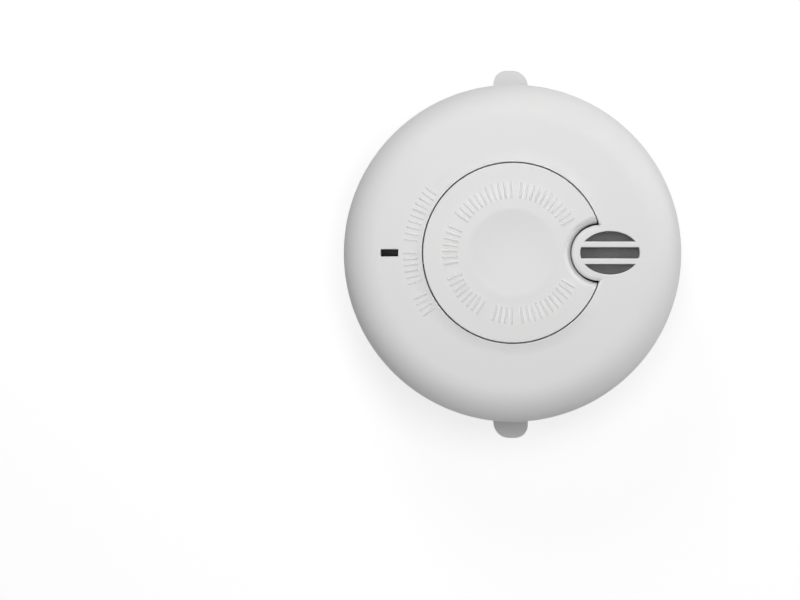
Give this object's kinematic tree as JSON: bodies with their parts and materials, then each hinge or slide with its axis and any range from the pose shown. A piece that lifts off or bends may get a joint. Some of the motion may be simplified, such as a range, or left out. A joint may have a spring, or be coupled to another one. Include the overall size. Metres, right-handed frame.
{
  "type": "smoke detector",
  "caption": "Round white domed smoke detector with a large dished test button, an oval sound grille, side smoke inlets and a twist-lock mounting plate with finger ears.",
  "frame": {"origin": "on the detector's axis, in the plane of the mounting face that lies on the ceiling or wall", "axes": "+Z out of the mounting face through the test button, +X towards the sound grille, +Y towards one ear"},
  "size_m": [0.115, 0.1284, 0.0498],
  "materials": {
    "white_plastic": "satin moulded",
    "dark_plastic": "matt moulded",
    "smoked_plastic": "polished, see-through black",
    "screen_cloth": "fine open weave",
    "spring_steel": "drawn wire",
    "screw_steel": "zinc plated",
    "mesh_steel": "etched sheet",
    "nickel_strip": "nickel strip",
    "board_laminate": "solder mask",
    "passive_parts": "ceramic blocks with tinned ends",
    "clear_resin": "clear cast resin",
    "can_metal": "sleeved can",
    "ferrite": "ferrite core with varnish",
    "cell_wrap": "plain shrink wrap",
    "brass": "rolled sheet",
    "piezo": "silvered ceramic",
    "foam": "closed-cell foam"
  },
  "bodies": {
    "plate": {"mounting_plate": "white_plastic"},
    "head": {"rear_case": "white_plastic", "case_screws": "screw_steel", "front_cover": "white_plastic", "light_pipe": "smoked_plastic", "sound_screen": "screen_cloth", "button_spring": "spring_steel", "circuit_board": "board_laminate", "test_switch_body": "dark_plastic", "power_switch_body": "dark_plastic", "power_spring": "spring_steel", "status_led": "clear_resin", "controller_chip": "dark_plastic", "surface_mount_parts": "passive_parts", "storage_capacitor": "can_metal", "horn_coil": "ferrite", "chamber_base": "dark_plastic", "chamber_cap": "dark_plastic", "insect_screen": "mesh_steel", "infrared_emitter": "clear_resin", "light_sensor": "smoked_plastic", "battery_cell": "cell_wrap", "battery_tab_positive": "nickel_strip", "battery_tab_negative": "nickel_strip", "horn_cup": "dark_plastic", "piezo_plate": "brass", "piezo_ceramic": "piezo", "horn_cap": "dark_plastic", "horn_gasket": "foam", "horn_contacts": "brass"},
    "button": {"test_button": "white_plastic"},
    "plunger": {"test_switch_plunger": "dark_plastic"},
    "pin": {"power_pin": "dark_plastic"}
  },
  "joints": [
    {"name": "head_twist", "type": "hinge", "parent": "plate", "child": "head", "pos_m": [0, 0, 0.0054], "axis": [0, 0, 1], "range_deg": [0, 15]},
    {"name": "button_press", "type": "slide", "parent": "head", "child": "button", "axis": [0, 0, -1], "range_m": [0, 0.0008], "stiffness_N_per_m": 800, "springref_m": -0.002, "deforming": ["button_spring"]},
    {"name": "plunger_press", "type": "slide", "parent": "head", "child": "plunger", "axis": [0, 0, -1], "range_m": [0, 0.0008]},
    {"name": "pin_slide", "type": "slide", "parent": "head", "child": "pin", "axis": [0, 0, -1], "range_m": [0, 0.0018], "deforming": ["power_spring"]}
  ],
  "couplings": [
    {"joint": "plunger_press", "follows": "button_press", "ratio": 1},
    {"joint": "pin_slide", "follows": "head_twist", "m_per_rad": 0.006875}
  ]
}
